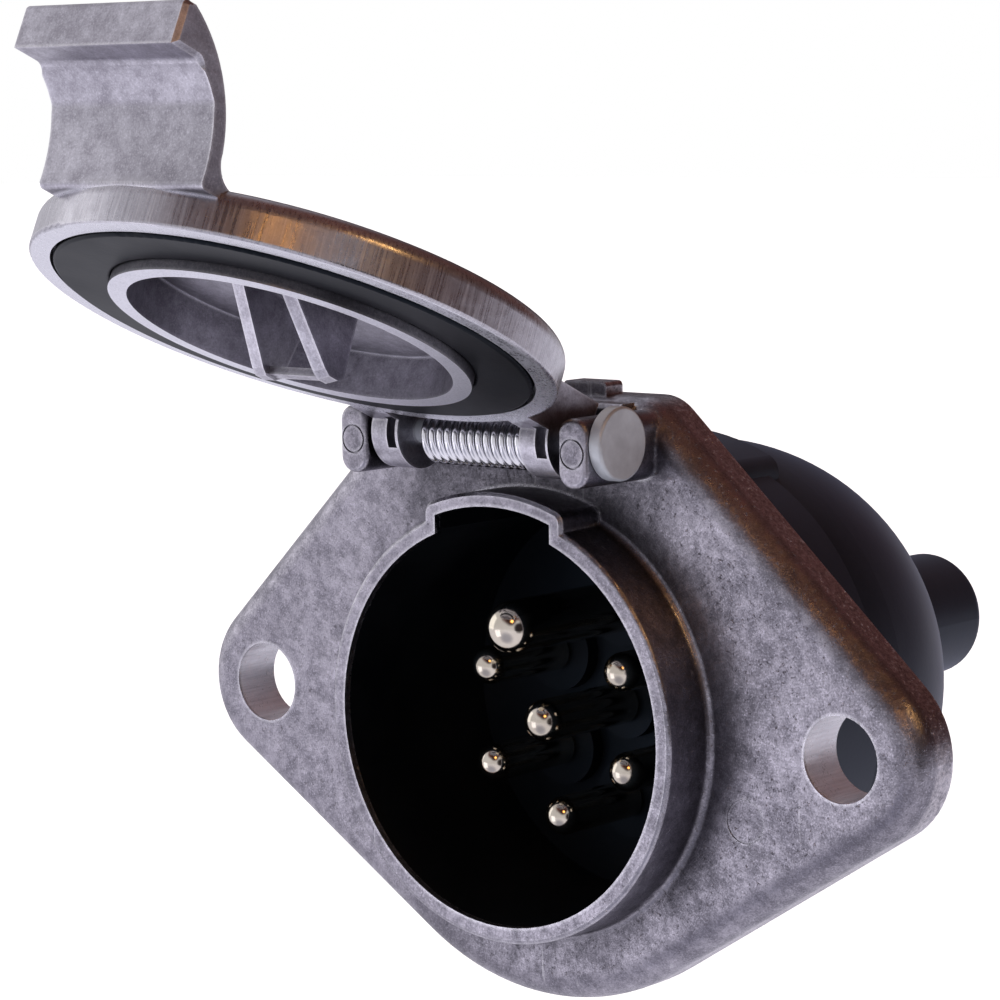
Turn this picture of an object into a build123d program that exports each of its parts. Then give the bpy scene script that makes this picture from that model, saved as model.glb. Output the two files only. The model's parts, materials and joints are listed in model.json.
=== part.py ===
"""Seven-pin trailer wiring socket with a diamond flange, a sprung lid and a rubber rear boot.

Origin: centre of the flange's rear mounting face, on the socket axis.
+X to the right looking at the open socket, +Y rearwards into the panel, +Z up. Millimetres.
The lid is drawn closed and then turned to its open rest position about the hinge axis.
"""

from build123d import *
import math
import os

# Flange and collar
hole_spacing = 88.9
hole_radius = 5.0
flange_thickness = 6.5
flange_end_radius = 10.7
flange_belly_radius = 34.6
flange_shoulder_left = -17.3
flange_shoulder_right = 15.4
flange_shoulder_z = 33.1
flange_shoulder_radius = 6.0
flange_edge_radius = 3.4
boot_seat_depth = 0.5
ejector_mark_place = (31.3, -8.7)
ejector_mark_radius = 2.6
ejector_mark_depth = 0.1
collar_height = 7.2
mouth_radius = 24.1
inner_start_radius = 20.0
housing_overlap = 1.0
collar_radius = 26.1
collar_foot_radius = 26.3
collar_rim_rounding = 0.5
collar_foot_rounding = 0.9
lip_depth = 1.0
liner_seat_radius = 25.15
key_inner_radius = 26.2
key_outer_radius = 27.9
key_half_width = 8.8
key_outer_half_width = 10.6
barrel_radius = 27.6
barrel_length = 23.0
barrel_key_radius = 29.3

# Insert and contacts
liner_bore_radius = 24.6
liner_radius = 25.1
liner_key_wall = 0.6
floor_front = 13.0
floor_rear = 19.0
boss_front = floor_front - 2.0
boss_radius = 5.0
centre_boss_radius = 4.6
pin_circle_radius = 12.0
pin_circle_turn = 3.2
pin_circle_x = 0.15
pin_circle_z = -0.6
small_pin_radius = 2.38
large_pin_radius = 3.175
centre_pin_radius = 2.6
small_pin_tip = -4.2
large_pin_tip = -12.5
centre_pin_tip = -6.9
pin_free_end = boss_front - 0.6
stem_step = 0.4
stem_clearance = 0.02
terminal_end = 33.0
centre_terminal_end = 41.0
terminal_radius = 3.4
cable_hole_radius = 2.3
cable_hole_depth = 9.0

# Rear boot
boot_front = -0.3
boot_band_radius = 31.2
boot_band_end = 21.5
boot_dome_centre = 26.8
boot_dome_radius = 30.9
boot_bump_radius = 32.6
boot_bump_half_width = 14.8
boot_bump_end = 23.5
boot_bump_rounding = 2.4
boot_wall = 2.6
boot_clearance = 0.05
nozzle_radius = 8.4
nozzle_bore_radius = 6.25
nozzle_end = 81.0
nozzle_rise = 1.8
nozzle_flare = 6.0
nozzle_rounding = 1.6

# Hinge
axis_y = -14.4
axis_z = 34.75
ear_inner = 14.6
ear_outer = 18.8
ear_centre_z = 33.8
ear_half_height = 4.0
ear_corner_radius = 1.9
ear_front = axis_y - 4.7
ear_mark_radius = 1.75
ear_mark_groove = 0.22
stop_pad_depth = 1.8
pin_shank_radius = 1.5
pin_hole_radius = 1.56
pin_head_radius = 4.25
pin_head_thickness = 1.6
pin_head_gap = 0.05
knuckle_radius = 4.5
knuckle_spans = ((-13.9, -9.8), (8.8, 13.0))
spring_wire_radius = 0.5
spring_mean_radius = 2.8
spring_sag = 0.5
spring_left = -8.1
spring_right = 8.4
pocket_spans = ((-11.5, -10.2), (11.2, 12.7))
pocket_low = 33.0
pocket_high = 36.7
pocket_depth = 1.9

# Lid, measured from the gasket's contact plane when closed
open_angle = 114.7
lid_gap = 0.1
lid_radius = 29.6
lid_rim_back = 0.3
lid_outer_back = 5.6
lid_edge_radius = 2.0
groove_radius = 27.2
gasket_radius = 26.85
ring_outer_radius = 20.4
ring_inner_radius = 18.3
ring_proud = 1.1
bowl_floor_back = 4.0
gasket_depth = 2.2
tooth_offset = 4.0
tooth_thickness = 1.7
tooth_lean = 15.0
tab_half_width = 12.0
tab_corner_rounding = 0.5
panel_radius = 21.0
panel_depth = 0.4
arm_start_z = 26.0
arm_end_z = 37.6
arm_outer_back = 6.2
heel_thickness = 2.0

front_face = -flange_thickness
rim_face = front_face - collar_height
contact_plane = rim_face - lid_gap
hole_x = hole_spacing / 2


def cylinder_y(radius, start, end, x=0.0, z=0.0):
    """Solid cylinder along Y from start to end."""
    plane = Plane(origin=(x, start, z), x_dir=(1, 0, 0), z_dir=(0, 1, 0))
    return extrude(plane * Circle(radius), amount=end - start)


def cylinder_x(radius, start, end, y=0.0, z=0.0):
    """Solid cylinder along X from start to end."""
    plane = Plane(origin=(start, y, z), x_dir=(0, 1, 0), z_dir=(1, 0, 0))
    return extrude(plane * Circle(radius), amount=end - start)


def block(x_range, y_range, z_range):
    """Box between the given limits."""
    size = [high - low for low, high in (x_range, y_range, z_range)]
    centre = [(high + low) / 2 for low, high in (x_range, y_range, z_range)]
    return Pos(*centre) * Box(*size)


def key_sector(radius, half_width, start, end):
    """Part of a round bar that stands above the socket's mouth at twelve o'clock."""
    bar = cylinder_y(radius, start, end)
    window = block((-half_width, half_width), (start - 1, end + 1), (inner_start_radius, radius + 1))
    return bar & window


def flange_outline():
    """Convex diamond around the two holes, the round belly and the hinge shoulders."""
    circles = [
        (-hole_x, 0.0, flange_end_radius),
        (hole_x, 0.0, flange_end_radius),
        (0.0, 0.0, flange_belly_radius),
        (flange_shoulder_left, flange_shoulder_z, flange_shoulder_radius),
        (flange_shoulder_right, flange_shoulder_z, flange_shoulder_radius),
    ]
    edges = [Pos(x, z) * Circle(radius).edge() for x, z, radius in circles]
    return make_hull(edges)


def flange_plate():
    """Diamond plate with a large soft front edge."""
    plane = Plane(origin=(0, 0, 0), x_dir=(1, 0, 0), z_dir=(0, -1, 0))
    plate = extrude(plane * flange_outline(), amount=flange_thickness)
    front_edges = plate.faces().sort_by(Axis.Y)[0].edges()
    return fillet(front_edges, flange_edge_radius)


def collar():
    """Round collar with a drafted outside, a rounded rim, a filleted foot and the key bump."""
    inside = inner_start_radius
    back = -housing_overlap
    foot_outer = collar_foot_radius + collar_foot_rounding
    rim_start = collar_radius - collar_rim_rounding
    rim_rounding_end = rim_face + collar_rim_rounding
    foot_start = front_face - collar_foot_rounding
    diagonal = math.sqrt(0.5)
    rim_middle = (rim_start + collar_rim_rounding * diagonal,
                  rim_rounding_end - collar_rim_rounding * diagonal)
    foot_middle = (foot_outer - collar_foot_rounding * diagonal,
                   foot_start + collar_foot_rounding * diagonal)
    outline = [
        Line((inside, rim_face), (rim_start, rim_face)),
        ThreePointArc((rim_start, rim_face), rim_middle, (collar_radius, rim_rounding_end)),
        Line((collar_radius, rim_rounding_end), (collar_foot_radius, foot_start)),
        ThreePointArc((collar_foot_radius, foot_start), foot_middle, (foot_outer, front_face)),
        Line((foot_outer, front_face), (foot_outer, back)),
        Line((foot_outer, back), (inside, back)),
        Line((inside, back), (inside, rim_face)),
    ]
    wall = revolve(make_face(outline), axis=Axis.Y)
    bump = key_sector(key_outer_radius, key_outer_half_width, rim_face, back)
    side_edges = bump.edges().filter_by(Axis.Y).sort_by(Axis.Z)[-2:]
    bump = fillet(side_edges, 1.6)
    bump = chamfer(bump.faces().sort_by(Axis.Y)[0].edges().sort_by(Axis.Z)[-3:], 0.4)
    return wall + bump


def hinge_ear(side):
    """Pill-shaped ear that stands out of the flange to hold one end of the hinge pin."""
    width = ear_outer - ear_inner
    centre_x = side * (ear_inner + ear_outer) / 2
    plane = Plane(origin=(centre_x, ear_front, ear_centre_z), x_dir=(1, 0, 0), z_dir=(0, 1, 0))
    outline = plane * RectangleRounded(width, 2 * ear_half_height, ear_corner_radius)
    ear = extrude(outline, amount=front_face + 2.0 - ear_front)
    ear = fillet(ear.faces().sort_by(Axis.Y)[0].edges(), 0.6)
    mark_end = ear_front + 0.2
    mark = cylinder_y(ear_mark_radius, ear_front - 1.0, mark_end, centre_x, ear_centre_z)
    mark -= cylinder_y(ear_mark_radius - ear_mark_groove, ear_front - 2.0, mark_end + 1.0,
                       centre_x, ear_centre_z)
    return ear - mark


def stop_pad():
    """Raised pad between the ears; the lid's heel meets it when fully open."""
    pad = block((-ear_inner - 0.5, ear_inner + 0.5), (front_face - stop_pad_depth, front_face + 1.0),
                (axis_z - 1.2, flange_shoulder_z + flange_shoulder_radius - 0.6))
    return fillet(pad.faces().sort_by(Axis.Y)[0].edges().filter_by(Axis.X), 0.8)


def stop_lug():
    """Small upturned lug on the flange's top edge behind the hinge."""
    top = flange_shoulder_z + flange_shoulder_radius
    lug = block((3.6, 10.0), (front_face + 2.2, -1.2), (top - 1.5, top + 1.5))
    return fillet(lug.edges().filter_by(Axis.Y).sort_by(Axis.Z)[-2:], 0.6)


def rear_barrel():
    """Barrel behind the flange that carries the insert and the boot."""
    barrel = cylinder_y(barrel_radius, -housing_overlap, barrel_length)
    bump = key_sector(barrel_key_radius, key_outer_half_width, -housing_overlap, barrel_length)
    return barrel + bump


def boot_seat():
    """Shallow recess in the flange's rear face that takes the front edge of the boot."""
    gap = 0.3
    seat = cylinder_y(boot_band_radius + gap, -boot_seat_depth, 1.0)
    seat += key_sector(boot_bump_radius + gap, boot_bump_half_width + gap, -boot_seat_depth, 1.0)
    return seat


def flange_housing():
    """Die-cast flange, collar, hinge ears and rear barrel in one casting."""
    housing = flange_plate() - boot_seat()
    housing += collar() + rear_barrel()
    housing += hinge_ear(-1) + hinge_ear(1) + stop_pad() + stop_lug()
    lip_end = rim_face + lip_depth
    housing -= cylinder_y(mouth_radius, rim_face - 1, lip_end)
    housing -= cylinder_y(liner_seat_radius, lip_end, barrel_length + 1)
    housing -= key_sector(key_inner_radius, key_half_width, rim_face - 1, lip_end)
    seat_growth = liner_key_wall + 0.15
    housing -= key_sector(key_inner_radius + seat_growth, key_half_width + seat_growth, lip_end,
                          floor_rear)
    housing -= cylinder_y(hole_radius, front_face - 1, 1.0, -hole_x)
    housing -= cylinder_y(hole_radius, front_face - 1, 1.0, hole_x)
    housing -= cylinder_y(ejector_mark_radius, front_face - 1, front_face + ejector_mark_depth,
                          *ejector_mark_place)
    housing -= cylinder_x(pin_hole_radius, -ear_outer + 1.2, ear_outer + 1, axis_y, axis_z)
    return housing


def pin_places():
    """Places of the six outer contacts, the ground contact first."""
    places = []
    for step in range(6):
        angle = math.radians(90 + pin_circle_turn - 60 * step)
        x = pin_circle_x + pin_circle_radius * math.cos(angle)
        z = pin_circle_z + pin_circle_radius * math.sin(angle)
        places.append((x, z))
    return places


def contact_insert():
    """Black insulating cup with a liner wall, a floor and the contact bosses."""
    front = rim_face + lip_depth
    insert = cylinder_y(liner_radius, front, floor_rear)
    insert += key_sector(key_inner_radius + 0.1 + liner_key_wall, key_half_width + liner_key_wall,
                         front, floor_rear)
    cavity = cylinder_y(liner_bore_radius, front - 1, floor_front)
    cavity += key_sector(key_inner_radius + 0.1, key_half_width + 0.1, front - 1, floor_front)
    insert -= cavity
    for x, z in pin_places():
        insert += cylinder_y(boss_radius, boss_front, floor_rear + 3.0, x, z)
    insert += cylinder_y(centre_boss_radius, boss_front, floor_rear + 6.0, pin_circle_x, pin_circle_z)
    for index, (x, z) in enumerate(pin_places()):
        radius = small_pin_radius
        if index == 0:
            radius = large_pin_radius
        stem_hole_radius = radius - stem_step + stem_clearance
        insert -= cylinder_y(stem_hole_radius, 0.0, floor_rear + 9.0, x, z)
    centre_hole_radius = centre_pin_radius - stem_step + stem_clearance
    insert -= cylinder_y(centre_hole_radius, 0.0, floor_rear + 9.0, pin_circle_x, pin_circle_z)
    return insert


def insert_ring():
    """Ring pressed into the barrel behind the insert."""
    ring = cylinder_y(liner_seat_radius, floor_rear, floor_rear + 3.0)
    ring -= cylinder_y(19.5, floor_rear - 1, floor_rear + 4.0)
    return chamfer(ring.faces().sort_by(Axis.Y)[-1].edges(), 0.4)


def contact(radius, tip, rear, x, z):
    """Round male contact with a domed tip, a thinner stem and a screw terminal at its rear."""
    free_end = cylinder_y(radius, tip, pin_free_end, x, z)
    free_end = fillet(free_end.faces().sort_by(Axis.Y)[0].edges(), radius * 0.985)
    terminal_start = floor_rear + 3.0
    if rear > terminal_end:
        terminal_start = floor_rear + 6.0
    stem = cylinder_y(radius - stem_step, pin_free_end - 1.0, terminal_start + 1.0, x, z)
    terminal = cylinder_y(terminal_radius, terminal_start + 0.05, rear, x, z)
    terminal -= cylinder_y(cable_hole_radius, rear - cable_hole_depth, rear + 1, x, z)
    return free_end + stem + terminal


def screw_angle(index):
    """Direction in which a terminal's screw points, away from the socket axis."""
    return math.radians(90 + pin_circle_turn - 60 * index)


def terminal_screw(x, z, along, angle):
    """Slotted clamping screw that goes radially into a terminal's wall."""
    direction = Vector(math.cos(angle), 0, math.sin(angle))
    start = Vector(x, along, z) + direction * cable_hole_radius
    plane = Plane(origin=start, x_dir=(0, 1, 0), z_dir=direction)
    screw = extrude(plane * Circle(1.3), amount=2.6)
    slot = plane.offset(2.1) * Rectangle(4.0, 0.5)
    return screw - extrude(slot, amount=1.0)


def screw_hole(x, z, along, angle):
    """Hole in a terminal for its clamping screw."""
    direction = Vector(math.cos(angle), 0, math.sin(angle))
    plane = Plane(origin=Vector(x, along, z), x_dir=(0, 1, 0), z_dir=direction)
    return extrude(plane * Circle(1.3), amount=terminal_radius + 1)


def boot_outside():
    """Outside of the boot: band, domed back, cable nozzle with its flare, and the key bump."""
    dome = Pos(0, boot_dome_centre, 0) * Sphere(boot_dome_radius)
    dome &= block((-40, 40), (boot_band_end - 0.01, 70), (-40, 40))
    nozzle = cylinder_y(nozzle_radius, boot_dome_centre + 20, nozzle_end, 0.0, nozzle_rise)
    back = dome + nozzle
    junction = back.edges().filter_by(lambda edge: 50 < edge.center().Y < nozzle_end - 5)
    back = fillet(junction, nozzle_flare)
    back = fillet(back.faces().sort_by(Axis.Y)[-1].edges(), nozzle_rounding)
    bump = key_sector(boot_bump_radius, boot_bump_half_width, boot_front, boot_bump_end)
    bump = fillet(bump.edges().filter_by(Axis.Y).sort_by(Axis.Z)[-2:], boot_bump_rounding)
    return back + cylinder_y(boot_band_radius, boot_front, boot_band_end) + bump


def rear_boot():
    """Rubber boot over the barrel with a cable nozzle at its back."""
    boot = boot_outside()
    barrel_space_end = barrel_length + 0.3
    inner = Pos(0, boot_dome_centre, 0) * Sphere(boot_dome_radius - boot_wall)
    inner &= block((-40, 40), (barrel_length, 70), (-40, 40))
    boot -= inner
    boot -= cylinder_y(barrel_radius + boot_clearance, -1.0, barrel_space_end)
    boot -= key_sector(barrel_key_radius + boot_clearance, key_outer_half_width + boot_clearance,
                       -1.0, barrel_space_end)
    boot -= cylinder_y(nozzle_bore_radius, boot_dome_centre + 15, nozzle_end + 1, 0.0, nozzle_rise)
    return boot


def hinge_pin():
    """Headed hinge pin through the ears, the lid's knuckles and the spring."""
    shank = cylinder_x(pin_shank_radius, -ear_outer + 1.3, ear_outer + 0.5, axis_y, axis_z)
    head_start = ear_outer + pin_head_gap
    head = cylinder_x(pin_head_radius, head_start, head_start + pin_head_thickness, axis_y, axis_z)
    head = fillet(head.faces().sort_by(Axis.X)[-1].edges(), 0.35)
    return shank + head


def lid_spring():
    """Close-wound torsion spring as a simple sleeve that hangs on the hinge pin."""
    centre_z = axis_z - spring_sag
    outer = spring_mean_radius + spring_wire_radius
    inner = spring_mean_radius - spring_wire_radius
    sleeve = cylinder_x(outer, spring_left, spring_right, axis_y, centre_z)
    return sleeve - cylinder_x(inner, spring_left - 1, spring_right + 1, axis_y, centre_z)


def lid_disc():
    """Round cap with its gasket groove, inner ring and bowl, drawn closed."""
    rim = contact_plane - lid_rim_back
    outer = contact_plane - lid_outer_back
    disc = cylinder_y(lid_radius, outer, rim)
    disc = fillet(disc.faces().sort_by(Axis.Y)[0].edges(), lid_edge_radius)
    disc = fillet(disc.faces().sort_by(Axis.Y)[-1].edges(), 0.4)
    disc += cylinder_y(ring_outer_radius, outer + 2, contact_plane + ring_proud)
    disc -= cylinder_y(ring_inner_radius, contact_plane - bowl_floor_back, 0.0)
    groove = cylinder_y(groove_radius, contact_plane - gasket_depth, 0.0)
    groove -= cylinder_y(ring_outer_radius, outer, 1.0)
    panel = cylinder_y(panel_radius, outer - 1, outer + panel_depth)
    return disc - groove - panel


def lid_tab():
    """Finger grip at the lid's free edge: a curved web that ends in a thick lip."""
    plane = Plane(origin=(tab_half_width, contact_plane, 0), x_dir=(0, 0, -1), z_dir=(-1, 0, 0))
    foot_inner = (24.4, 4.2)
    foot_corner = (28.9, 4.2)
    web_start = (29.55, 5.0)
    web_middle = (29.8, 8.6)
    crease_start = (30.8, 12.2)
    crease_middle = (31.0, 12.75)
    crease_end = (31.4, 13.25)
    band_middle = (32.7, 14.55)
    band_end = (34.2, 15.6)
    underside_start = (35.1, 15.95)
    lip_front = (38.3, 15.9)
    lip_top = (38.3, 20.2)
    back_top = (37.4, 20.8)
    back_middle = (31.3, 16.1)
    back_end = (28.0, 8.6)
    heel_middle = (27.2, 6.4)
    heel_end = (24.4, 5.4)
    outline = [
        Line(foot_inner, foot_corner),
        ThreePointArc(foot_corner, (29.36, 4.4), web_start),
        ThreePointArc(web_start, web_middle, crease_start),
        ThreePointArc(crease_start, crease_middle, crease_end),
        ThreePointArc(crease_end, band_middle, band_end),
        ThreePointArc(band_end, (34.63, 15.88), underside_start),
        Line(underside_start, lip_front),
        Line(lip_front, lip_top),
        ThreePointArc(lip_top, (38.0, 20.7), back_top),
        ThreePointArc(back_top, back_middle, back_end),
        ThreePointArc(back_end, heel_middle, heel_end),
        Line(heel_end, foot_inner),
    ]
    web = extrude(plane * make_face(outline), amount=2 * tab_half_width)
    corners = web.edges().filter_by(lambda edge: edge.center().Z < -36 and abs(edge.center().X) > 11)
    return chamfer(corners, tab_corner_rounding)


def tooth_plate(side):
    """Triangular plate of the tooth that holds the plug in."""
    centre = side * tooth_offset
    plane = Plane(origin=(centre + tooth_thickness / 2, contact_plane, 0), x_dir=(0, 0, -1),
                  z_dir=(-1, 0, 0))
    points = [
        (7.4, 4.6),
        (-5.4, 4.6),
        (-3.6, -4.3),
        (-2.6, -4.9),
        (-1.2, -4.9),
        (-0.4, -4.3),
    ]
    plate = extrude(plane * make_face(Polyline(*points, close=True)), amount=tooth_thickness)
    if side > 0:
        plate = plate.rotate(Axis((centre, contact_plane, 0), (0, 0, 1)), -tooth_lean)
    return plate


def tooth_bar():
    """Thin bar that joins the tips of the two tooth plates."""
    return block((-tooth_offset, tooth_offset + 1.0), (contact_plane + 3.7, contact_plane + 4.6),
                 (1.3, 2.7))


def lid_arm(span):
    """Arm and knuckle that carry the lid on the hinge pin."""
    low, high = span
    knuckle = cylinder_x(knuckle_radius, low, high, axis_y, axis_z)
    arm = block((low, high), (contact_plane - arm_outer_back, contact_plane - lid_rim_back),
                (arm_start_z, arm_end_z))
    return knuckle + arm


def arm_pocket(span):
    """Cored pocket in the face of an arm that looks forward when the lid is open."""
    front = axis_y - knuckle_radius
    return block(span, (front - 2.0, front + pocket_depth), (pocket_low, pocket_high))


def lid_heel():
    """Web between the two arms over the spring."""
    left = knuckle_spans[0][1] - 1.0
    right = knuckle_spans[1][0] + 1.0
    outer = contact_plane - arm_outer_back
    return block((left, right), (outer, outer + heel_thickness), (arm_start_z, axis_z - 1.0))


def turn_open(shape):
    """Turn a part drawn closed to the open rest position."""
    return shape.rotate(Axis((0, axis_y, axis_z), (1, 0, 0)), -open_angle)


def lid():
    """Die-cast lid in its open rest position."""
    body = lid_disc() + lid_tab() + lid_heel()
    for span in knuckle_spans:
        body += lid_arm(span)
    body += tooth_plate(-1) + tooth_plate(1) + tooth_bar()
    body -= cylinder_x(pin_hole_radius, -20, 20, axis_y, axis_z)
    body = turn_open(body)
    for span in pocket_spans:
        body -= arm_pocket(span)
    return body


def lid_gasket():
    """Flat rubber ring in the lid's groove."""
    ring = cylinder_y(gasket_radius, contact_plane - gasket_depth, contact_plane)
    ring -= cylinder_y(ring_outer_radius + 0.05, contact_plane - gasket_depth - 1, 1.0)
    ring = fillet(ring.faces().sort_by(Axis.Y)[-1].edges(), 0.4)
    return turn_open(ring)


def build():
    """All parts by node name."""
    parts = {
        "flange_housing": flange_housing(),
        "contact_insert": contact_insert(),
        "insert_ring": insert_ring(),
        "rear_boot": rear_boot(),
        "hinge_pin": hinge_pin(),
        "lid_spring": lid_spring(),
        "lid": lid(),
        "lid_gasket": lid_gasket(),
    }
    for index, (x, z) in enumerate(pin_places()):
        angle = screw_angle(index)
        along = terminal_end - cable_hole_depth / 2
        name = f"contact_pin_{index}"
        radius = small_pin_radius
        tip = small_pin_tip
        if index == 0:
            name = "ground_pin"
            radius = large_pin_radius
            tip = large_pin_tip
        pin = contact(radius, tip, terminal_end, x, z)
        parts[name] = pin - screw_hole(x, z, along, angle)
        parts[f"terminal_screw_{index + 1}"] = terminal_screw(x, z, along, angle)
    along = centre_terminal_end - cable_hole_depth / 2
    up = math.radians(90)
    centre = contact(centre_pin_radius, centre_pin_tip, centre_terminal_end, pin_circle_x,
                     pin_circle_z)
    parts["centre_pin"] = centre - screw_hole(pin_circle_x, pin_circle_z, along, up)
    parts["terminal_screw_7"] = terminal_screw(pin_circle_x, pin_circle_z, along, up)
    return parts


os.makedirs("parts", exist_ok=True)
for node, shape in build().items():
    export_step(shape, f"parts/{node}.step")
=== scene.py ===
"""Looks of the trailer wiring socket: materials, coiled lid spring, studio and camera."""

import json
import math

import bpy
from mathutils import Matrix, Vector


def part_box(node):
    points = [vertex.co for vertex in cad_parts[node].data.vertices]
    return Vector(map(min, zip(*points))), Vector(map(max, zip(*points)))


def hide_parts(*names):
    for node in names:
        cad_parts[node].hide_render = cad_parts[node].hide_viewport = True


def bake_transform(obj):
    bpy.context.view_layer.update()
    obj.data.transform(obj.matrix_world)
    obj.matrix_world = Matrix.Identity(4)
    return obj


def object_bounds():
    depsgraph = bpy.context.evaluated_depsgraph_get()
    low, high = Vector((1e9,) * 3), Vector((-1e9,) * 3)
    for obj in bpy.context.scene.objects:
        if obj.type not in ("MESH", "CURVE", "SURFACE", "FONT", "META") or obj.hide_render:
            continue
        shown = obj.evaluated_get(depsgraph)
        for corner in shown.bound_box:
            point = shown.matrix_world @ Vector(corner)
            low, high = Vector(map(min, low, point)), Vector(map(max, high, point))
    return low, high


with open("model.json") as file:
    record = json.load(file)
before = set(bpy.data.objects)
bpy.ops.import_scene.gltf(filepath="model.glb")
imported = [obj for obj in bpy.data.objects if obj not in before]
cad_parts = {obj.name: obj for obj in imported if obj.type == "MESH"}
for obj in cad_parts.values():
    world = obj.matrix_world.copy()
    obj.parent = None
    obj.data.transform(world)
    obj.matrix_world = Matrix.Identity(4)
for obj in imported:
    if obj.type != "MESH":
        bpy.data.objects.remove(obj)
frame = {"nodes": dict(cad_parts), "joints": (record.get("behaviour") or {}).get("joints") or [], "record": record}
cad_box = [list(corner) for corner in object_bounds()]
nodes = frame["nodes"]
joint = next(j for j in frame["joints"] if j["name"] == "lid_hinge")
MM = 0.001

# ---------------------------------------------------------------- places taken from the frame
hinge = Vector(joint["pos_m"])
open_angle = math.radians(-joint["range_deg"][0])
lid_inward = Vector((0.0, math.cos(open_angle), -math.sin(open_angle)))
housing_low, housing_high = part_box("flange_housing")
middle = (housing_low + housing_high) / 2

# ---------------------------------------------------------------- sizes that the masks need
FLANGE_FACE_Y = -6.5 * MM
HOLE_SPACING = 88.9 * MM
HOLE_RADIUS = 5.0 * MM
LID_RADIUS = 29.6 * MM
GASKET_RADIUS = 26.8 * MM
RING_RADIUS = 18.0 * MM

# Y from the hinge axis, with the lid closed, between which the ground rim fades in
RIM_START = -5.0 * MM
RIM_FULL = -4.0 * MM

# ---------------------------------------------------------------- colours of wear, linear RGB
WORN_CASTING = (0.84, 0.83, 0.87)
WORN_LID = (0.86, 0.85, 0.88)
HOLE_WALL = (0.90, 0.90, 0.95)
SIDE_FLECK = (0.86, 0.80, 0.84)
SCRATCH = (0.78, 0.77, 0.80)
GROUND_SIDE = (0.60, 0.59, 0.63)
GROUND_MARK_LIGHT = (0.84, 0.83, 0.87)
GROUND_MARK_DARK = (0.17, 0.16, 0.175)
GROUND_FACE = (0.84, 0.84, 0.90)
DUST = (0.35, 0.35, 0.36)


# ---------------------------------------------------------------- node helpers
class Graph:
    """Short names for building one node tree."""

    # Places of the colour sockets on the mix node
    MIX_FIRST = 6
    MIX_SECOND = 7
    MIX_RESULT = 2

    def __init__(self, tree):
        self.tree = tree

    def node(self, kind, **settings):
        made = self.tree.nodes.new(kind)
        for key, value in settings.items():
            setattr(made, key, value)
        return made

    def feed(self, socket, value):
        """Set a socket to a number, a direction or a colour, or link an output to it."""
        if isinstance(value, (int, float, Vector)):
            socket.default_value = value
        elif isinstance(value, tuple):
            socket.default_value = (*value, 1.0)
        else:
            self.tree.links.new(value, socket)

    def mapped(self, vector, scale=(1, 1, 1), rotation=(0, 0, 0)):
        """A vector output, turned and scaled."""
        made = self.node("ShaderNodeMapping")
        made.inputs["Scale"].default_value = scale
        made.inputs["Rotation"].default_value = rotation
        self.feed(made.inputs["Vector"], vector)
        return made.outputs["Vector"]

    def place(self, scale=(1, 1, 1), rotation=(0, 0, 0)):
        """Object coordinates, turned and scaled."""
        coordinates = self.node("ShaderNodeTexCoord")
        return self.mapped(coordinates.outputs["Object"], scale, rotation)

    def normal(self):
        return self.node("ShaderNodeNewGeometry").outputs["Normal"]

    def split(self, vector):
        """The X, Y and Z outputs of a vector."""
        made = self.node("ShaderNodeSeparateXYZ")
        self.feed(made.inputs[0], vector)
        return made.outputs

    def noise(self, vector, scale, detail, rough):
        made = self.node("ShaderNodeTexNoise")
        made.inputs["Scale"].default_value = scale
        made.inputs["Detail"].default_value = detail
        made.inputs["Roughness"].default_value = rough
        self.feed(made.inputs["Vector"], vector)
        return made.outputs["Fac"]

    def ramp(self, value, low, high, start=0.0, end=1.0, interpolation="LINEAR"):
        """Map value from low..high to start..end."""
        made = self.node("ShaderNodeMapRange", interpolation_type=interpolation)
        made.inputs["From Min"].default_value = low
        made.inputs["From Max"].default_value = high
        made.inputs["To Min"].default_value = start
        made.inputs["To Max"].default_value = end
        self.feed(made.inputs["Value"], value)
        return made.outputs["Result"]

    def mix(self, factor, first, second):
        """First colour where factor is 0, second where it is 1."""
        made = self.node("ShaderNodeMix", data_type="RGBA")
        self.feed(made.inputs[0], factor)
        self.feed(made.inputs[self.MIX_FIRST], first)
        self.feed(made.inputs[self.MIX_SECOND], second)
        return made.outputs[self.MIX_RESULT]

    def calculate(self, kind, first, second=0.0):
        made = self.node("ShaderNodeMath", operation=kind)
        self.feed(made.inputs[0], first)
        self.feed(made.inputs[1], second)
        return made.outputs[0]

    def times(self, first, second):
        return self.calculate("MULTIPLY", first, second)

    def plus(self, first, second):
        return self.calculate("ADD", first, second)

    def minus(self, first, second):
        return self.calculate("SUBTRACT", first, second)

    def length(self, first, second):
        """Length of the vector with these two components."""
        squares = [self.times(part, part) for part in (first, second)]
        return self.calculate("SQRT", self.plus(*squares))

    def from_point(self, vector, point):
        """Vector that leads from a fixed point to a place."""
        made = self.node("ShaderNodeVectorMath", operation="SUBTRACT")
        self.feed(made.inputs[0], vector)
        self.feed(made.inputs[1], point)
        return made.outputs["Vector"]

    def dot(self, vector, other):
        made = self.node("ShaderNodeVectorMath", operation="DOT_PRODUCT")
        self.feed(made.inputs[0], vector)
        self.feed(made.inputs[1], other)
        return made.outputs["Value"]

    def edges(self, radius):
        """0 on flats, towards 1 on sharp edges within the given radius."""
        bevel = self.node("ShaderNodeBevel", samples=4)
        bevel.inputs["Radius"].default_value = radius
        return self.ramp(self.dot(bevel.outputs["Normal"], self.normal()), 0.995, 0.86)

    def openness(self, reach):
        """1 in the open, towards 0 in corners and under other pieces within reach."""
        made = self.node("ShaderNodeAmbientOcclusion", samples=6)
        made.inputs["Distance"].default_value = reach
        return made.outputs["AO"]


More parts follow.
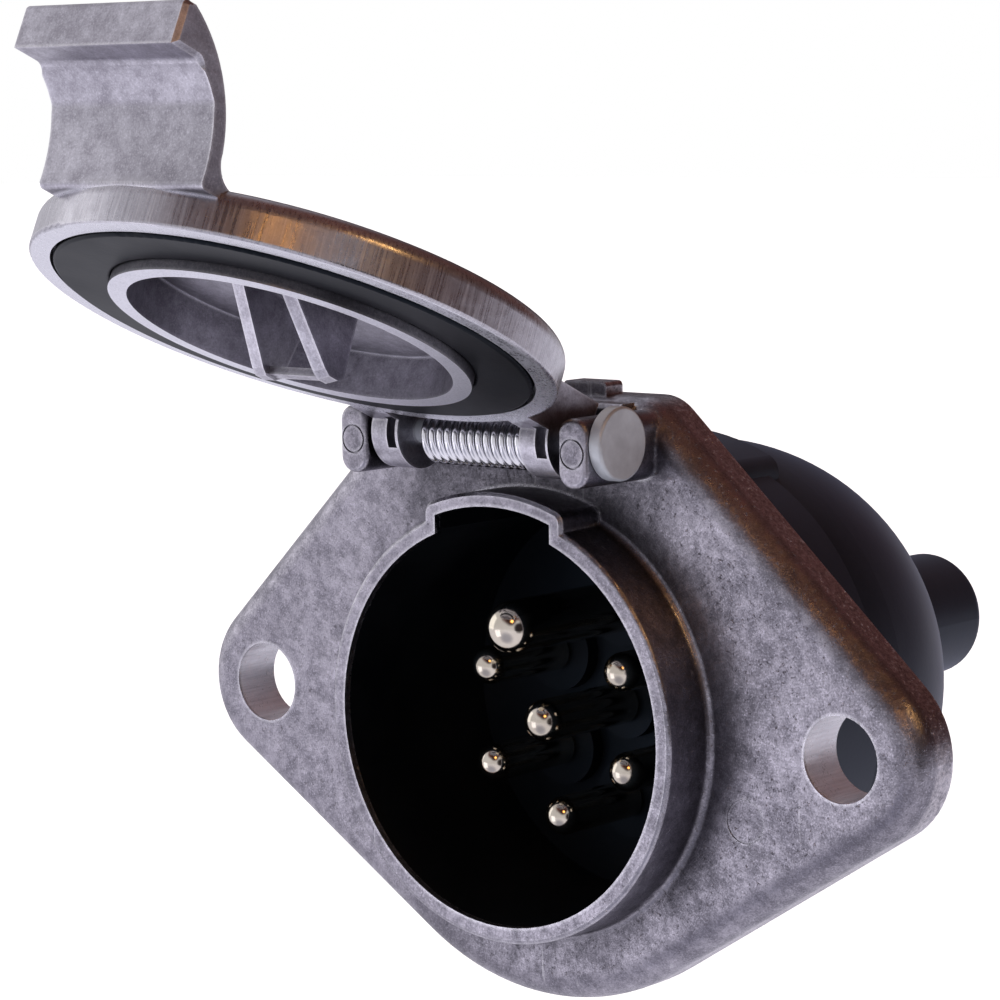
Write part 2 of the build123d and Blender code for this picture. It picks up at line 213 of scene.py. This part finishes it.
class Surface(Graph):
    """Node tree of one material around its Principled shader."""

    def __init__(self, name):
        self.material = bpy.data.materials.new(name)
        self.material.use_nodes = True
        super().__init__(self.material.node_tree)
        self.shader = self.tree.nodes["Principled BSDF"]

    def bump(self, layers):
        """Chain of (height, strength, distance) bumps into the shader's normal."""
        previous = None
        for height, strength, distance in layers:
            made = self.node("ShaderNodeBump")
            made.inputs["Strength"].default_value = strength
            made.inputs["Distance"].default_value = distance
            self.feed(made.inputs["Height"], height)
            if previous:
                self.feed(made.inputs["Normal"], previous)
            previous = made.outputs["Normal"]
        self.feed(self.shader.inputs["Normal"], previous)

    def finish(self, colour, roughness, metallic=0.0):
        self.feed(self.shader.inputs["Base Color"], colour)
        self.feed(self.shader.inputs["Roughness"], roughness)
        self.feed(self.shader.inputs["Metallic"], metallic)
        return self.material


# ---------------------------------------------------------------- cast metal
def scaled(colour, factor):
    """A colour made lighter or darker."""
    return tuple(min(1.0, part * factor) for part in colour)


def waviness(g, at):
    """Slow unevenness of a cast face."""
    return g.noise(at, 130, 3, 0.5)


def cast_skin(g, at, dark, light, strength=1.0, reach=11 * MM, corner_shade=0.92):
    """Mottled cast skin: clouds, salt-and-pepper grain, pits and painted shade in the corners and under other
    pieces.
    """
    cloud = g.noise(at, 520, 6, 0.7)
    broad = g.noise(at, 75, 4, 0.6)
    grain = g.noise(at, 4200, 3, 0.75)
    specks = g.noise(at, 1900, 5, 0.8)
    stain = g.noise(at, 24, 3, 0.55)
    deep = scaled(dark, 0.4)
    mottle = g.plus(g.times(cloud, 0.6), g.times(broad, 0.4))
    colour = g.mix(g.ramp(mottle, 0.42, 0.58), dark, light)
    colour = g.mix(g.ramp(stain, 0.50, 0.66, 0.0, 0.55 * strength), colour, scaled(dark, 0.5))
    colour = g.mix(g.ramp(grain, 0.53, 0.70, 0.0, 0.5 * strength), colour, scaled(light, 1.6))
    colour = g.mix(g.ramp(grain, 0.47, 0.30, 0.0, 0.5 * strength), colour, deep)
    colour = g.mix(g.ramp(specks, 0.60, 0.70, 0.0, 0.7 * strength), colour, deep)
    # Painted shade: the colour darkens where ambient occlusion finds corners and overhanging pieces, broken up by
    # the mottle and the specks.
    uneven = g.plus(g.openness(reach), g.ramp(mottle, 0.3, 0.7, -0.14, 0.14))
    painted_corner_shade = g.times(g.ramp(uneven, 0.92, 0.52, 0.0, corner_shade), g.ramp(specks, 0.35, 0.6, 0.65, 1.0))
    colour = g.mix(painted_corner_shade, colour, scaled(dark, 0.22))
    return colour, mottle, grain, specks, cloud


def flange_masks(g, at):
    """Masks of the flange's narrow sides and of the walls of its two mounting holes."""
    spot = g.split(at)
    behind = g.ramp(spot["Y"], FLANGE_FACE_Y - 0.1 * MM, FLANGE_FACE_Y + 0.5 * MM)
    facing = g.calculate("ABSOLUTE", g.split(g.normal())["Y"])
    side = g.times(g.ramp(facing, 0.16, 0.04), behind)
    across = g.minus(g.calculate("ABSOLUTE", spot["X"]), HOLE_SPACING / 2)
    away = g.length(across, spot["Z"])
    hole = g.times(side, g.ramp(away, HOLE_RADIUS + 1.0 * MM, HOLE_RADIUS + 0.4 * MM))
    return side, hole


def cast_metal(name, dark, light, rough_low, rough_high):
    """Grey zinc die casting with brighter worn edges, bright hole walls and a few fine scratches."""
    g = Surface(name)
    at = g.place()
    colour, mottle, grain, specks, cloud = cast_skin(g, at, dark, light)
    worn = g.times(g.edges(0.8 * MM), g.ramp(specks, 0.36, 0.56, 0.3, 1.0))
    colour = g.mix(g.times(worn, 0.8), colour, WORN_CASTING)
    side, hole = flange_masks(g, at)
    drill_marks = g.noise(g.place(scale=(1.0, 0.04, 1.0)), 2600, 3, 0.6)
    colour = g.mix(g.times(hole, g.ramp(drill_marks, 0.35, 0.65, 0.65, 1.0)), colour, HOLE_WALL)
    colour = g.mix(g.times(side, g.ramp(specks, 0.42, 0.62, 0.05, 0.6)), colour, SIDE_FLECK)
    scratch_place = g.place(scale=(1.0, 1.0, 0.06), rotation=(0.0, 0.7, 0.0))
    scratch = g.ramp(g.noise(scratch_place, 900, 2, 0.4), 0.70, 0.76)
    colour = g.mix(g.times(scratch, 0.35), colour, SCRATCH)
    rough = g.ramp(mottle, 0.35, 0.65, rough_high, rough_low)
    rough = g.plus(rough, g.ramp(grain, 0.35, 0.65, 0.07, -0.07))
    rough = g.minus(rough, g.times(worn, 0.08))
    g.bump([
        (waviness(g, at), 0.35, 0.60 * MM),
        (cloud, 0.30, 0.18 * MM),
        (grain, 0.50, 0.05 * MM),
        (g.ramp(specks, 0.60, 0.74, 0.0, -1.0), 0.6, 0.08 * MM),
    ])
    return g.finish(colour, rough, g.ramp(hole, 0.0, 1.0, 1.0, 0.35))


def ground_metal(name, dark, light):
    """Lid casting with a ground rim: fine marks run parallel to the lid's axis on its side."""
    g = Surface(name)
    at = g.place()
    closed = g.node("ShaderNodeVectorRotate", rotation_type="X_AXIS")
    closed.inputs["Center"].default_value = hinge
    closed.inputs["Angle"].default_value = open_angle
    g.feed(closed.inputs["Vector"], at)
    closed_place = closed.outputs["Vector"]

    spot = g.split(g.from_point(closed_place, hinge))
    radius = g.length(spot["X"], g.plus(spot["Z"], hinge.z))
    within = g.ramp(radius, LID_RADIUS + 0.6 * MM, LID_RADIUS + 0.1 * MM)
    rim = g.times(g.ramp(radius, GASKET_RADIUS, GASKET_RADIUS + 0.8 * MM), within)
    rim = g.times(rim, g.ramp(spot["Y"], RIM_START, RIM_FULL))
    ground = g.times(g.ramp(g.dot(g.normal(), lid_inward), 0.80, 0.95),
                     g.ramp(radius, RING_RADIUS - 0.2 * MM, RING_RADIUS + 0.2 * MM))
    ground = g.times(ground, within)
    marks = g.noise(g.mapped(closed_place, scale=(1.0, 0.03, 1.0)), 3600, 3, 0.65)
    marks = g.plus(0.5, g.times(g.minus(marks, 0.5), rim))

    # The lid gets weaker painted corner shade over a shorter reach.
    colour, mottle, grain, specks, cloud = cast_skin(g, at, dark, light,
                                                     strength=0.75, reach=5 * MM, corner_shade=0.6)
    colour = g.mix(g.times(rim, 0.45), colour, GROUND_SIDE)
    colour = g.mix(g.ramp(marks, 0.53, 0.70, 0.0, 0.42), colour, GROUND_MARK_LIGHT)
    colour = g.mix(g.ramp(marks, 0.46, 0.32, 0.0, 0.36), colour, GROUND_MARK_DARK)
    worn = g.times(g.edges(0.6 * MM), g.ramp(specks, 0.36, 0.56, 0.5, 1.0))
    colour = g.mix(g.times(worn, 0.8), colour, WORN_LID)
    colour = g.mix(g.times(ground, g.ramp(grain, 0.3, 0.6, 0.6, 0.95)), colour, GROUND_FACE)
    rough = g.ramp(mottle, 0.35, 0.65, 0.44, 0.33)
    rough = g.plus(rough, g.ramp(marks, 0.35, 0.65, -0.06, 0.08))
    rough = g.minus(rough, g.times(rim, 0.09))
    g.bump([
        (waviness(g, at), 0.25, 0.50 * MM),
        (cloud, 0.15, 0.14 * MM),
        (marks, 0.30, 0.05 * MM),
        (grain, 0.22, 0.04 * MM),
    ])
    return g.finish(colour, rough, g.ramp(rim, 0.0, 1.0, 1.0, 0.85))


# ---------------------------------------------------------------- plastic, rubber and plated metal
def moulded(name, colour, rough_low, rough_high, bump_scale, bump_strength,
            dust=0.0, specular=0.5, sheen=0.0):
    """Dark moulded plastic or rubber with a fine surface, bluish shine and a trace of dust."""
    g = Surface(name)
    at = g.place()
    broad = g.noise(at, 60, 4, 0.55)
    fine = g.noise(at, bump_scale, 3, 0.6)
    lighter = tuple(part * 1.9 + 0.004 for part in colour)
    mixed = g.mix(g.ramp(broad, 0.35, 0.7), colour, lighter)
    mixed = g.mix(g.ramp(fine, 0.66, 0.8, 0.0, dust), mixed, DUST)
    rough = g.ramp(broad, 0.3, 0.7, rough_low, rough_high)
    g.shader.inputs["Specular IOR Level"].default_value = specular
    g.shader.inputs["Specular Tint"].default_value = (0.50, 0.72, 1.0, 1.0)
    g.shader.inputs["Sheen Weight"].default_value = sheen
    g.shader.inputs["Sheen Roughness"].default_value = 0.45
    g.shader.inputs["Sheen Tint"].default_value = (0.60, 0.68, 1.0, 1.0)
    g.bump([
        (fine, bump_strength, 0.1 * MM),
        (g.noise(at, 240, 3, 0.5), 0.05, 0.3 * MM),
    ])
    return g.finish(mixed, rough)


def bright_metal(name, dark, light, rough_low, rough_high, metallic=1.0):
    """Smooth plated metal with faint tarnish and fine lines."""
    g = Surface(name)
    at = g.place()
    cloud = g.noise(at, 260, 4, 0.6)
    lines = g.noise(g.place(scale=(1.0, 0.05, 1.0)), 3000, 2, 0.5)
    colour = g.mix(g.ramp(cloud, 0.35, 0.65), dark, light)
    rough = g.ramp(cloud, 0.3, 0.7, rough_high, rough_low)
    rough = g.plus(rough, g.ramp(lines, 0.55, 0.75, 0.0, 0.06))
    g.bump([
        (lines, 0.05, 0.04 * MM),
        (cloud, 0.03, 0.2 * MM),
    ])
    return g.finish(colour, rough, metallic)


materials = {
    "cast_metal": cast_metal("cast_metal", (0.225, 0.215, 0.25), (0.405, 0.385, 0.435), 0.28, 0.42),
    "cast_lid": ground_metal("cast_lid", (0.37, 0.355, 0.40), (0.54, 0.525, 0.58)),
    "black_insert": moulded("black_insert", (0.0022, 0.0022, 0.0025), 0.45, 0.6, 900, 0.08,
                            specular=0.25),
    "boot_rubber": moulded("boot_rubber", (0.009, 0.010, 0.014), 0.42, 0.56, 1500, 0.1,
                           dust=0.02, specular=0.28, sheen=0.27),
    "gasket_rubber": moulded("gasket_rubber", (0.004, 0.004, 0.005), 0.34, 0.46, 1800, 0.1,
                             dust=0.02, specular=0.14),
    "contact_plate": bright_metal("contact_plate", (0.60, 0.54, 0.44), (0.72, 0.66, 0.56), 0.08, 0.17),
    "plated_steel": bright_metal("plated_steel", (0.47, 0.49, 0.52), (0.60, 0.63, 0.66), 0.40, 0.52,
                                 metallic=0.4),
    "spring_steel": bright_metal("spring_steel", (0.70, 0.70, 0.73), (0.88, 0.88, 0.92), 0.12, 0.2),
    "ring_plastic": moulded("ring_plastic", (0.015, 0.015, 0.017), 0.35, 0.5, 700, 0.08),
}

slot_of = {part["node"]: part["material_slot"] for part in frame["record"]["subparts"]}
for name, node in nodes.items():
    node.data.materials.clear()
    node.data.materials.append(materials[slot_of[name]])


# ---------------------------------------------------------------- torsion spring
WIRE_RADIUS = 0.5 * MM
PITCH_IN_WIRE_RADII = 2.3
STEPS_PER_COIL = 28
FIRST_ANGLE = math.radians(-20)


def spring_path(low, high):
    """Helix about the spring's own axis that fills the given box."""
    coil_radius = (high.z - low.z) / 2 - WIRE_RADIUS
    centre = (low + high) / 2
    start = low.x + WIRE_RADIUS
    end = high.x - WIRE_RADIUS
    coils = round((end - start) / (PITCH_IN_WIRE_RADII * WIRE_RADIUS))
    steps = coils * STEPS_PER_COIL
    points = []
    for i in range(steps + 1):
        share = i / steps
        angle = FIRST_ANGLE + 2 * math.pi * coils * share
        points.append(Vector((start + (end - start) * share,
                              centre.y + coil_radius * math.cos(angle),
                              centre.z + coil_radius * math.sin(angle))))
    return points


def tube_mesh(name, path, radius, sides=12):
    """Closed round tube along a list of points, each section turned as little as possible."""
    count = len(path)
    tangents = [(path[min(i + 1, count - 1)] - path[max(i - 1, 0)]).normalized() for i in range(count)]
    normal = tangents[0].orthogonal().normalized()
    vertices = []
    for point, tangent in zip(path, tangents):
        normal = (normal - tangent * normal.dot(tangent)).normalized()
        side = tangent.cross(normal)
        for k in range(sides):
            angle = 2 * math.pi * k / sides
            vertices.append(point + radius * (math.cos(angle) * normal + math.sin(angle) * side))
    faces = []
    for i in range(count - 1):
        for k in range(sides):
            here = i * sides + k
            beside = i * sides + (k + 1) % sides
            faces.append((here, beside, beside + sides, here + sides))
    faces.append(tuple(reversed(range(sides))))
    faces.append(tuple((count - 1) * sides + k for k in range(sides)))
    mesh = bpy.data.meshes.new(name)
    mesh.from_pydata([tuple(v) for v in vertices], [], faces)
    mesh.polygons.foreach_set("use_smooth", [True] * len(mesh.polygons))
    mesh.update()
    piece = bpy.data.objects.new(name, mesh)
    bpy.context.scene.collection.objects.link(piece)
    return piece


low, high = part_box("lid_spring")
spring = tube_mesh("spring_coil", spring_path(low, high), WIRE_RADIUS)
spring.data.materials.append(materials["spring_steel"])
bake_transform(spring)
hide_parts("lid_spring")


# ---------------------------------------------------------------- studio
WALL_COLOUR = (0.70, 0.69, 0.74)

# Soft patches of the studio's walls: direction, degrees within which it is full, degrees where it ends,
# colour. A later one lies over an earlier one.
WALL_PATCHES = [
    ((0.35, 0.20, 0.91), 32, 52, (0.15, 0.052, 0.042)),
    ((0.15, -0.50, 0.85), 24, 42, (0.10, 0.036, 0.030)),
    ((0.38, -0.70, 0.56), 8, 28, (0.050, 0.024, 0.022)),
    ((0.47, -0.69, 0.54), 2, 8, (5.2, 2.4, 0.7)),
    ((0.20, 0.80, 0.50), 24, 42, (0.11, 0.046, 0.042)),
    ((0.62, 0.77, -0.14), 16, 30, (0.085, 0.036, 0.034)),
    ((0.88, 0.42, 0.30), 30, 46, (0.060, 0.028, 0.028)),
    ((-0.62, 0.62, -0.45), 20, 36, (0.95, 0.95, 1.0)),
    ((-0.55, 0.80, 0.25), 12, 24, (0.05, 0.045, 0.055)),
    ((0.00, 0.00, -1.00), 78, 92, (0.88, 0.86, 0.96)),
    ((0.04, -0.77, -0.64), 4, 34, (0.42, 0.42, 0.52)),
    ((0.90, -0.40, 0.05), 14, 27, (0.030, 0.025, 0.028)),
]

FLOOR_DROP = 60 * MM
FLOOR_REACH = 6.0


def studio_walls():
    """Light in front, on the left and below, dark and warm above and behind, and white to the camera."""
    world = bpy.data.worlds.new("studio")
    bpy.context.scene.world = world
    world.use_nodes = True
    g = Graph(world.node_tree)
    direction = g.node("ShaderNodeTexCoord").outputs["Generated"]
    colour = WALL_COLOUR
    for towards, full, gone, paint in WALL_PATCHES:
        closeness = g.dot(direction, Vector(towards).normalized())
        fade = g.ramp(closeness, math.cos(math.radians(gone)), math.cos(math.radians(full)),
                      interpolation="SMOOTHSTEP")
        colour = g.mix(fade, colour, paint)
    walls = g.tree.nodes["Background"]
    g.feed(walls.inputs["Color"], colour)
    white = g.node("ShaderNodeBackground")
    g.feed(white.inputs["Color"], (1.0, 1.0, 1.0))
    chooser = g.node("ShaderNodeMixShader")
    g.feed(chooser.inputs["Fac"], g.node("ShaderNodeLightPath").outputs["Is Camera Ray"])
    g.feed(chooser.inputs[1], walls.outputs[0])
    g.feed(chooser.inputs[2], white.outputs[0])
    g.feed(g.tree.nodes["World Output"].inputs["Surface"], chooser.outputs[0])


def pale_floor():
    """Plain pale floor under the part, which lights nothing."""
    height = cad_box[0][2] - FLOOR_DROP
    corners = [(-FLOOR_REACH, -FLOOR_REACH, height), (FLOOR_REACH, -FLOOR_REACH, height),
               (FLOOR_REACH, FLOOR_REACH, height), (-FLOOR_REACH, FLOOR_REACH, height)]
    mesh = bpy.data.meshes.new("floor")
    mesh.from_pydata(corners, [], [(0, 1, 2, 3)])
    piece = bpy.data.objects.new("floor", mesh)
    bpy.context.scene.collection.objects.link(piece)
    surface = Surface("floor")
    surface.shader.inputs["Specular IOR Level"].default_value = 0.0
    surface.shader.inputs["Emission Color"].default_value = (1.0, 1.0, 1.0, 1.0)
    surface.shader.inputs["Emission Strength"].default_value = 1.0
    mesh.materials.append(surface.finish((0.9, 0.9, 0.91), 0.9))
    piece.visible_glossy = False
    piece.visible_diffuse = False


def area(name, centre, target, size, power, colour=(1, 1, 1)):
    """Soft area lamp aimed at a point."""
    data = bpy.data.lights.new(name, "AREA")
    data.shape = "RECTANGLE"
    data.size, data.size_y = size
    data.energy = power
    data.color = colour
    lamp = bpy.data.objects.new(name, data)
    bpy.context.scene.collection.objects.link(lamp)
    lamp.location = centre
    aim = Vector(target) - Vector(centre)
    lamp.rotation_euler = aim.to_track_quat("-Z", "Y").to_euler()


studio_walls()
pale_floor()
area("key", centre=(-0.95, -0.35, 0.22), target=middle, size=(0.7, 0.7), power=1.1)
area("low_fill", centre=(-0.12, -0.20, -0.065), target=(0.035, -0.006, -0.030), size=(0.10, 0.10),
     power=0.028, colour=(0.93, 0.92, 1.0))
area("warm", centre=(0.62, -0.05, 0.52), target=middle, size=(0.05, 0.03), power=0.45,
     colour=(1.0, 0.55, 0.18))

# ---------------------------------------------------------------- camera
AZIMUTH = math.radians(39.06)
ELEVATION = math.radians(7.9)
ROLL = math.radians(0.72)
DISTANCE = 388.62 * MM
TARGET = Vector((7.5, -6.5, 18.8)) * MM


def studio_camera():
    """Camera in front of the part, to its right and a little above."""
    towards = Vector((math.sin(AZIMUTH) * math.cos(ELEVATION),
                      -math.cos(AZIMUTH) * math.cos(ELEVATION),
                      math.sin(ELEVATION)))
    level_right = (-towards).cross(Vector((0, 0, 1))).normalized()
    level_down = (-towards).cross(level_right)
    right = math.cos(ROLL) * level_right + math.sin(ROLL) * level_down
    down = math.cos(ROLL) * level_down - math.sin(ROLL) * level_right
    data = bpy.data.cameras.new("camera")
    data.lens = 119.0
    data.sensor_width = 36.0
    data.shift_x = -0.080
    data.shift_y = 0.0675
    data.clip_start = 0.01
    data.clip_end = 30
    camera = bpy.data.objects.new("camera", data)
    bpy.context.scene.collection.objects.link(camera)
    rotation = Matrix((right, -down, towards)).transposed()
    camera.matrix_world = Matrix.Translation(TARGET + towards * DISTANCE) @ rotation.to_4x4()
    bpy.context.scene.camera = camera


studio_camera()
bpy.context.scene.view_settings.view_transform = "Standard"
